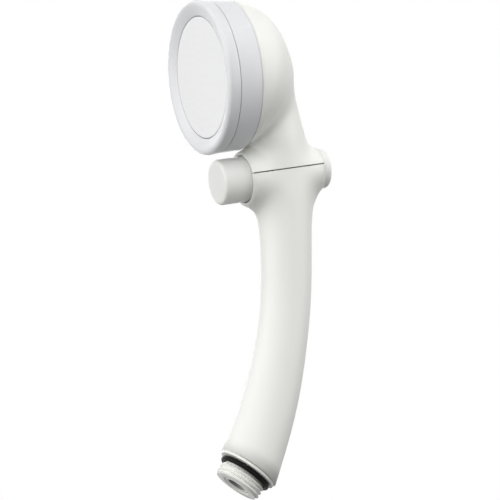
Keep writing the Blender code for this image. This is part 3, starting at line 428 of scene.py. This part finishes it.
def sharpenJoint(mesh, side):
    # the skin's shading ends at the joint, however small the faces that the cut left there
    toValve = valveAxis.inverted()
    rises = [(toValve @ vert.co).y * side for vert in mesh.vertices]
    level = min(rises) + tolerances["level"]
    for edge in mesh.edges:
        if all(rises[index] < level for index in edge.vertices):
            edge.use_edge_sharp = True


def shellPiece(name, node, side):
    bm = bmesh.new()
    bm.from_mesh(nodes[node].data)
    bmesh.ops.remove_doubles(bm, verts=list(bm.verts), dist=tolerances["mergeDistance"])
    evenOut(bm)
    openJoint(bm, side)
    piece = finishPiece(name, bm, node, shells["sharpAngle"])
    sharpenJoint(piece.data, side)
    return piece


shellPiece("headShell", "head_housing", 1)
shellPiece("handleShell", "handle_shell", -1)

drum = {
    "lipRound": 0.0019,
    "lipInside": 0.0026,  # from the side in to where the bevel starts
    "bevelEdge": 0.0007,
    "edgeRound": 0.00035,
    "backDraft": 0.0003,
    "grooveWidth": 0.0003,
    "ringDraft": 0.0005,
    "skirtRadius": 0.0288,
    "skirtBore": 0.0277,
    "snapDepth": 0.0014,
    "snapLength": 0.0014,
    "ringLip": 0.0291,
    "threadClear": 0.0276,
    "cavity": 0.0305,
    "steps": 160,
}
plate = {
    "radius": 0.0257,
    "gap": 0.0003,
    "flange": 0.0014,
    "edge": 0.0004,
    "rim": 0.0015,
    "nozzleRadius": 0.00015,
    "nozzleMouth": 0.0005,  # at the back, where the water enters
    "nozzleSides": 8,
    "nozzleProud": 0.0002,  # how far each cutter passes the plate at either end
    "rings": 6,
    "ringStep": 0.0036,
}

bezelLow, bezelHigh, bezelRadius = measure("face_bezel", sprayAxis)
ringLow, ringHigh, ringRadius = measure("clamp_ring", sprayAxis)
plateLow, plateHigh, plateFlangeRadius = measure("spray_plate", sprayAxis)


def makeBezel():
    back = ringHigh + drum["grooveWidth"]
    bevelStart = bezelRadius - drum["lipInside"]
    opening = plate["radius"] + plate["gap"]
    ledge = plateLow + plate["flange"] + plate["gap"]
    snapEnd = bezelLow + drum["snapLength"]
    corners = [
        (opening, ledge, 0.0),
        (opening, plateHigh, 0.0002),
        (bevelStart, bezelHigh, drum["bevelEdge"]),
        (bezelRadius, bezelHigh, drum["lipRound"]),
        (bezelRadius - drum["backDraft"], back, drum["edgeRound"]),
        (drum["skirtRadius"], back, 0.0),
        (drum["skirtRadius"], snapEnd, 0.0),
        (drum["skirtRadius"] + drum["snapDepth"], snapEnd, 0.0),
        (drum["skirtRadius"], bezelLow, 0.0),
        (drum["skirtBore"], bezelLow, 0.0),
        (drum["skirtBore"], ledge, 0.0),
    ]
    return turnedPiece("faceBezel", corners, sprayAxis, "face_bezel", drum["steps"])


def makeClampRing():
    lipBack = bezelLow + drum["snapLength"] + drum["grooveWidth"]
    cavityBack = bezelLow - drum["grooveWidth"]
    corners = [
        (drum["ringLip"], ringHigh, 0.0),
        (ringRadius, ringHigh, drum["edgeRound"]),
        (ringRadius - drum["ringDraft"], ringLow, drum["edgeRound"]),
        (drum["threadClear"], ringLow, 0.0004),
        (drum["threadClear"], cavityBack, 0.0),
        (drum["cavity"], cavityBack, 0.0),
        (drum["cavity"], lipBack, 0.0),
        (drum["ringLip"], lipBack, 0.0),
    ]
    return turnedPiece("clampRing", corners, sprayAxis, "clamp_ring", drum["steps"])


def nozzlePlaces():
    places = [(0.0, 0.0)]
    for ring in range(1, plate["rings"] + 1):
        radius = ring * plate["ringStep"]
        for index in range(6 * ring):
            angle = tau * index / (6 * ring)
            places.append((radius * cos(angle), radius * sin(angle)))
    return places


def drillPlate(piece):
    # every nozzle is a small cone, and all are cut in one go
    pins = bmesh.new()
    middle = (plateLow + plateHigh) / 2
    for x, y in nozzlePlaces():
        bmesh.ops.create_cone(
            pins, cap_ends=True, cap_tris=False, segments=plate["nozzleSides"],
            radius1=plate["nozzleMouth"], radius2=plate["nozzleRadius"],
            depth=(plateHigh - plateLow) + 2 * plate["nozzleProud"],
            matrix=Matrix.Translation((x, y, middle)),
        )
    bmesh.ops.transform(pins, matrix=sprayAxis, verts=list(pins.verts))
    pinMesh = bpy.data.meshes.new("nozzlePins")
    pins.to_mesh(pinMesh)
    pins.free()
    cutter = bpy.data.objects.new("nozzlePins", pinMesh)
    bpy.context.scene.collection.objects.link(cutter)
    cut = piece.modifiers.new("nozzles", "BOOLEAN")
    cut.operation = "DIFFERENCE"
    cut.solver = "EXACT"
    cut.object = cutter
    bpy.context.view_layer.update()
    graph = bpy.context.evaluated_depsgraph_get()
    drilled = bpy.data.meshes.new_from_object(piece.evaluated_get(graph))
    piece.modifiers.clear()
    piece.data = drilled
    drilled.set_sharp_from_angle(angle=radians(40))
    bpy.data.objects.remove(cutter)
    print("nozzles drilled:", len(nozzlePlaces()))


def makePlate():
    shoulder = plateLow + plate["flange"]
    corners = [
        (0.0, plateHigh, 0.0),
        (plate["radius"] - plate["rim"], plateHigh, 0.0),
        (plate["radius"], plateHigh, plate["edge"]),
        (plate["radius"], shoulder, 0.0),
        (plateFlangeRadius, shoulder, 0.0),
        (plateFlangeRadius, plateLow, 0.0002),
        (0.0, plateLow, 0.0),
    ]
    piece = turnedPiece("sprayPlate", corners, sprayAxis, "spray_plate", 128)
    drillPlate(piece)
    return piece


makeBezel()
makeClampRing()
makePlate()

button = {
    "play": 0.0002,  # off the front button's side, so that the gap round it reads
    "crown": 0.00015,
    "edge": 0.0014,
    "wall": 0.0015,
    "stemRadius": 0.0034,
    "stemShort": 0.0010,
    "screwHole": 0.00145,
    "screwDepth": 0.0059,  # of the hole's floor, behind the face
}
rearButton = {
    "edge": 0.0012,
    "crown": 0.0002,
    "thickness": 0.0036,
    "wall": 0.0015,
    "skirtRadius": 0.0072,
    "skirtBore": 0.0062,
    "socketRadius": 0.0040,
    "socketWall": 0.0012,
    "socketReach": 0.0051,  # of the socket, in from the rear face
}


def makeFrontButton():
    low, high, radius = measure("front_button", valveAxis)
    radius -= button["play"]
    under = high - button["wall"]
    stemEnd = low + button["stemShort"]
    holeEnd = high - button["screwDepth"]
    corners = [
        (0.0, high, 0.0),
        (radius * 0.7, high - button["crown"] * 0.5, 0.0),
        (radius, high - button["crown"], button["edge"]),
        (radius, low, 0.0003),
        (radius - button["wall"], low, 0.0003),
        (radius - button["wall"], under, 0.0008),
        (button["stemRadius"], under, 0.0005),
        (button["stemRadius"], stemEnd, 0.0003),
        (button["screwHole"], stemEnd, 0.0),
        (button["screwHole"], holeEnd, 0.0),
        (0.0, holeEnd, 0.0),
    ]
    return turnedPiece("frontButton", corners, valveAxis, "front_button", 128)


def makeRearButton():
    back, front, radius = measure("rear_button", valveAxis)
    inner = back + rearButton["wall"]
    brim = back + rearButton["thickness"]
    socketOut = rearButton["socketRadius"] + rearButton["socketWall"]
    socketEnd = back + rearButton["socketReach"]
    corners = [
        (0.0, back, 0.0),
        (radius * 0.7, back + rearButton["crown"] * 0.5, 0.0),
        (radius, back + rearButton["crown"], rearButton["edge"]),
        (radius, brim, 0.0003),
        (rearButton["skirtRadius"], brim, 0.0),
        (rearButton["skirtRadius"], front, 0.0003),
        (rearButton["skirtBore"], front, 0.0),
        (rearButton["skirtBore"], inner, 0.0),
        (socketOut, inner, 0.0),
        (socketOut, socketEnd, 0.0002),
        (rearButton["socketRadius"], socketEnd, 0.0),
        (rearButton["socketRadius"], inner, 0.0),
        (0.0, inner, 0.0),
    ]
    return turnedPiece("rearButton", corners, valveAxis, "rear_button", 112)


makeFrontButton()
makeRearButton()
print("drum and buttons made")

# every height is along the inlet's axis, from the end of the thread
inlet = {
    "threadRadius": 0.0104775,
    "threadRoot": 0.0093155,
    "threadLength": 0.0054,
    "pitch": 0.001814,
    "crestShare": 0.13,  # of the slope, rounded off at the crest and again at the root
    "chamfer": 0.0007,
    "runOut": 0.0006,
    "runOutSpare": 0.00008,  # what is left of the thread's root there, above the groove
    "threadSpare": 0.0001,
    "grooveRadius": 0.0095,
    "flangeRadius": 0.0130,
    "flangeLow": 0.00816,
    "flangeHigh": 0.00936,
    "flangeEdge": 0.0003,
    "plugRadius": 0.0090,
    "plugGroove": (0.0079, 0.01296, 0.0007),  # floor radius, middle and half width
    "spigotLow": 0.01626,
    "spigotHigh": 0.02146,
    "spigotRadius": 0.0041,
    "spigotGroove": (0.0030, 0.02006, 0.0007),
    "boreRadius": 0.0060,
    "boreEnd": 0.0073,
    "throatRadius": 0.0048,
    "throatEnd": 0.01406,
    "spigotBore": 0.0019,
    "rows": 56,
    "chamferRows": 8,
    "steps": 144,
}


def grooveCorners(radius, groove):
    floor, middle, half = groove
    return [
        (radius, middle + half, 0.0),
        (floor, middle + half, 0.0001),
        (floor, middle - half, 0.0001),
        (radius, middle - half, 0.0),
    ]


def threadHeight(turn, height):
    # 1 on the crest and 0 at the root of a thread that climbs one pitch in each turn
    phase = (height / inlet["pitch"] - turn) % 1
    slope = 1 - abs(2 * phase - 1)
    share = inlet["crestShare"]
    climb = min(max((slope - share) / (1 - 2 * share), 0), 1)
    return climb * climb * (3 - 2 * climb)


def cutThread(bm):
    root, crest = inlet["threadRoot"], inlet["threadRadius"]
    for vert in bm.verts:
        radius, height = hypot(vert.co.x, vert.co.y), vert.co.z
        inside = radius < inlet["grooveRadius"] + inlet["threadSpare"]
        if inside or height > inlet["threadLength"] + tolerances["level"]:
            continue
        turn = atan2(vert.co.y, vert.co.x) / tau
        floor = root
        if height > inlet["threadLength"] - inlet["runOut"]:
            floor = inlet["grooveRadius"] + inlet["runOutSpare"]
        wanted = max(root + (crest - root) * threadHeight(turn, height), floor)
        scale = min(wanted, radius) / radius
        vert.co.x *= scale
        vert.co.y *= scale


def makeConnector():
    spigot = inlet["spigotLow"]
    corners = [
        (inlet["spigotBore"], inlet["spigotHigh"], 0.0),
        (inlet["spigotRadius"], inlet["spigotHigh"], 0.0002),
        *grooveCorners(inlet["spigotRadius"], inlet["spigotGroove"]),
        (inlet["spigotRadius"], spigot, 0.0003),
        (inlet["plugRadius"], spigot, 0.0003),
        *grooveCorners(inlet["plugRadius"], inlet["plugGroove"]),
        (inlet["plugRadius"], inlet["flangeHigh"], 0.0),
        (inlet["flangeRadius"], inlet["flangeHigh"], inlet["flangeEdge"]),
        (inlet["flangeRadius"], inlet["flangeLow"], inlet["flangeEdge"]),
        (inlet["grooveRadius"], inlet["flangeLow"], 0.0002),
        (inlet["grooveRadius"], inlet["threadLength"], 0.0),
        (inlet["threadRadius"], inlet["threadLength"], 0.0),
        (inlet["threadRadius"], inlet["chamfer"], 0.0),
        (inlet["threadRadius"] - inlet["chamfer"], 0.0, 0.0),
        (inlet["boreRadius"], 0.0, 0.0004),
        (inlet["boreRadius"], inlet["boreEnd"], 0.0),
        (inlet["throatRadius"], inlet["boreEnd"], 0.0003),
        (inlet["throatRadius"], inlet["throatEnd"], 0.0),
        (inlet["spigotBore"], spigot, 0.0003),
    ]
    bm = bmesh.new()
    roundedProfile(bm, corners)
    threadEdges, chamferEdges = [], []
    for edge in bm.edges:
        radii = [vert.co.x for vert in edge.verts]
        heights = [vert.co.z for vert in edge.verts]
        if max(radii) < inlet["threadRadius"] - tolerances["level"]:
            continue
        if max(heights) > inlet["threadLength"] + tolerances["level"]:
            continue
        if min(radii) > inlet["threadRadius"] - tolerances["level"]:
            threadEdges.append(edge)
        elif min(heights) < tolerances["level"]:
            chamferEdges.append(edge)
    bmesh.ops.subdivide_edges(bm, edges=threadEdges, cuts=inlet["rows"])
    bmesh.ops.subdivide_edges(bm, edges=chamferEdges, cuts=inlet["chamferRows"])
    turnProfile(bm, inlet["steps"])
    cutThread(bm)
    bmesh.ops.transform(bm, matrix=inletAxis, verts=list(bm.verts))
    return finishPiece("inletConnector", bm, "inlet_connector", 50)


oRing = {"section": 0.00108, "middle": 0.01078, "height": 0.00678, "sides": 24, "steps": 112}
restrictor = {
    "back": 0.0070,
    "front": 0.0003,
    "radius": 0.0057,
    "mouth": 0.0041,
    "paintedShadeEdge": 0.00005,
    "step": 0.0026,  # where the mouth narrows to the metering hole
    "hole": 0.0018,
    "lip": 0.0040,
    "funnel": 0.0040,
}


def makeORing():
    bm = bmesh.new()
    place = Matrix.Translation((oRing["middle"], 0, oRing["height"])) @ Matrix.Rotation(tau / 4, 4, "X")
    bmesh.ops.create_circle(bm, segments=oRing["sides"], radius=oRing["section"], matrix=place)
    turnProfile(bm, oRing["steps"])
    bmesh.ops.transform(bm, matrix=inletAxis, verts=list(bm.verts))
    return finishPiece("inletORing", bm, "inlet_o_ring")


def makeRestrictor():
    corners = [
        (restrictor["radius"], restrictor["back"], 0.0001),
        (restrictor["radius"], restrictor["front"], 0.0003),
        (restrictor["mouth"], restrictor["front"], 0.0004),
        (restrictor["mouth"] - 0.0005, restrictor["step"], 0.0),
        (restrictor["hole"], restrictor["step"], 0.0002),
        (restrictor["hole"], restrictor["lip"], 0.0),
        (restrictor["funnel"], restrictor["back"], 0.0),
    ]
    piece = turnedPiece("flowRestrictor", corners, inletAxis, "flow_restrictor", 64)
    # a second, darker finish paints shade into the recess
    piece.data.materials.append(materials["restrictor_recess_painted_shade"])
    toInlet = inletAxis.inverted()
    for face in piece.data.polygons:
        centre = toInlet @ face.center
        if hypot(centre.x, centre.y) < restrictor["mouth"] - restrictor["paintedShadeEdge"]:
            face.material_index = 1  # the recess is painted darker, as painted shade in the hollow
    return piece


makeConnector()
makeORing()
makeRestrictor()
print("inlet made")

lowCorner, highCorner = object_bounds()
objectMiddle = (lowCorner + highCorner) / 2

floorValues = {
    "radius": 1.0, "drop": 0.15, "colour": (0.86, 0.86, 0.86), "bounce": (0.16, 0.16, 0.16),
    "fadeFrom": 0.5,
}


def seenShare(tree):
    # 1 where the camera, a reflection or a see-through piece looks, and 0 for plain bounced light
    paths = addNode(tree, "ShaderNodeLightPath").outputs
    looking = calculate(tree, "ADD", paths["Is Camera Ray"], paths["Is Glossy Ray"])
    return calculate(tree, "MINIMUM", calculate(tree, "ADD", looking, paths["Is Transmission Ray"]), 1.0)


def makeFloorMaterial(place):
    material = bpy.data.materials.new("floorPaper")
    material.use_nodes = True
    tree = material.node_tree
    shader = tree.nodes["Principled BSDF"]
    output = tree.nodes["Material Output"]
    where = addNode(tree, "ShaderNodeTexCoord").outputs["Object"]
    pale = floorValues["colour"]
    paper = mixColours(
        tree, noiseOf(tree, where, 60.0, 4.0), (*pale, 1), (*[level * 0.98 for level in pale], 1)
    )
    # the pale paper is seen, but it throws little light back up under the object
    colour = mixColours(tree, seenShare(tree), (*floorValues["bounce"], 1), paper)
    tree.links.new(colour, shader.inputs["Base Color"])
    shader.inputs["Roughness"].default_value = 0.85
    shader.inputs["Specular IOR Level"].default_value = 0.1
    # towards the rim the camera sees plain white, as behind the object
    distance = addNode(
        tree, "ShaderNodeVectorMath", {0: where, 1: place}, operation="DISTANCE"
    ).outputs["Value"]
    links = {"Value": distance, "From Min": floorValues["fadeFrom"], "From Max": floorValues["radius"]}
    fade = addNode(tree, "ShaderNodeMapRange", links, interpolation_type="SMOOTHSTEP")
    seen = addNode(tree, "ShaderNodeLightPath").outputs["Is Camera Ray"]
    share = calculate(tree, "MULTIPLY", fade.outputs["Result"], seen)
    white = addNode(tree, "ShaderNodeEmission", {"Color": (1, 1, 1, 1), "Strength": 1.0})
    mixed = addNode(tree, "ShaderNodeMixShader", {0: share, 1: shader.outputs["BSDF"]})
    tree.links.new(white.outputs["Emission"], mixed.inputs[2])
    tree.links.new(mixed.outputs["Shader"], output.inputs["Surface"])
    return material


def makeFloor():
    place = Vector((objectMiddle.x, objectMiddle.y, lowCorner.z - floorValues["drop"]))
    bm = bmesh.new()
    bmesh.ops.create_circle(bm, cap_ends=True, segments=96, radius=floorValues["radius"])
    bmesh.ops.translate(bm, vec=place, verts=list(bm.verts))
    mesh = bpy.data.meshes.new("studioFloor")
    bm.to_mesh(mesh)
    bm.free()
    mesh.materials.append(makeFloorMaterial(place))
    floor = bpy.data.objects.new("studioFloor", mesh)
    bpy.context.scene.collection.objects.link(floor)


worldValues = {"diffuseLevel": 0.18}


def makeWorld():
    world = bpy.data.worlds.new("studio")
    bpy.context.scene.world = world
    world.use_nodes = True
    tree = world.node_tree
    background = tree.nodes["Background"]
    links = {"Value": seenShare(tree), "To Min": worldValues["diffuseLevel"], "To Max": 1.0}
    level = addNode(tree, "ShaderNodeMapRange", links).outputs["Result"]
    background.inputs["Color"].default_value = (1, 1, 1, 1)
    tree.links.new(level, background.inputs["Strength"])


# each lamp: direction from the object, distance, size and how much it adds to a white face
lamps = {
    "sideLamp": {"from": (0.75, -0.35, 0.55), "distance": 1.3, "size": 1.0, "level": 0.23},
    "frontLamp": {"from": (0.30, -0.95, 0.10), "distance": 1.3, "size": 1.0, "level": 0.32},
    "frontLeftLamp": {"from": (-0.30, -0.90, 0.30), "distance": 1.3, "size": 1.0, "level": 0.40},
    "topLamp": {"from": (0.60, -0.10, 0.80), "distance": 1.3, "size": 1.0, "level": 0.42},
    "rearLamp": {"from": (0.60, 0.80, 0.10), "distance": 1.3, "size": 1.0, "level": 0.31},
    "rearHighLamp": {"from": (0.30, 0.70, 0.60), "distance": 1.3, "size": 1.0, "level": 0.21},
    "farLamp": {"from": (-1.0, 0.25, 0.15), "distance": 1.3, "size": 1.0, "level": 0.45},
}


def makeLamp(name, values):
    light = bpy.data.lights.new(name, "AREA")
    light.shape = "SQUARE"
    light.size = values["size"]
    light.energy = values["level"] * pi ** 2 * values["distance"] ** 2
    lamp = bpy.data.objects.new(name, light)
    away = Vector(values["from"]).normalized()
    lamp.location = objectMiddle + away * values["distance"]
    lamp.rotation_euler = away.to_track_quat("Z", "Y").to_euler()
    bpy.context.scene.collection.objects.link(lamp)


cameraValues = {
    "target": (-0.0025, 0.0194, 0.0983),
    "azimuth": 65.742,
    "elevation": 0.816,
    "roll": -6.218,
    "distance": 1.0,
    "lens": 169.08,
}


def makeCamera():
    camera = bpy.data.cameras.new("camera")
    camera.lens = cameraValues["lens"]
    camera.sensor_width = 36.0
    viewer = bpy.data.objects.new("camera", camera)
    bpy.context.scene.collection.objects.link(viewer)
    around, above = radians(cameraValues["azimuth"]), radians(cameraValues["elevation"])
    back = Vector((sin(around) * cos(above), -cos(around) * cos(above), sin(above)))
    level = (-back).to_track_quat("-Z", "Y").to_matrix().to_4x4()
    turn = Matrix.Rotation(radians(cameraValues["roll"]), 4, "Z")
    place = Vector(cameraValues["target"]) + back * cameraValues["distance"]
    viewer.matrix_world = Matrix.Translation(place) @ level @ turn
    bpy.context.scene.camera = viewer


makeFloor()
makeWorld()
for lampName, lampValues in lamps.items():
    makeLamp(lampName, lampValues)
makeCamera()
bpy.context.scene.view_settings.view_transform = "Standard"
print("studio made")
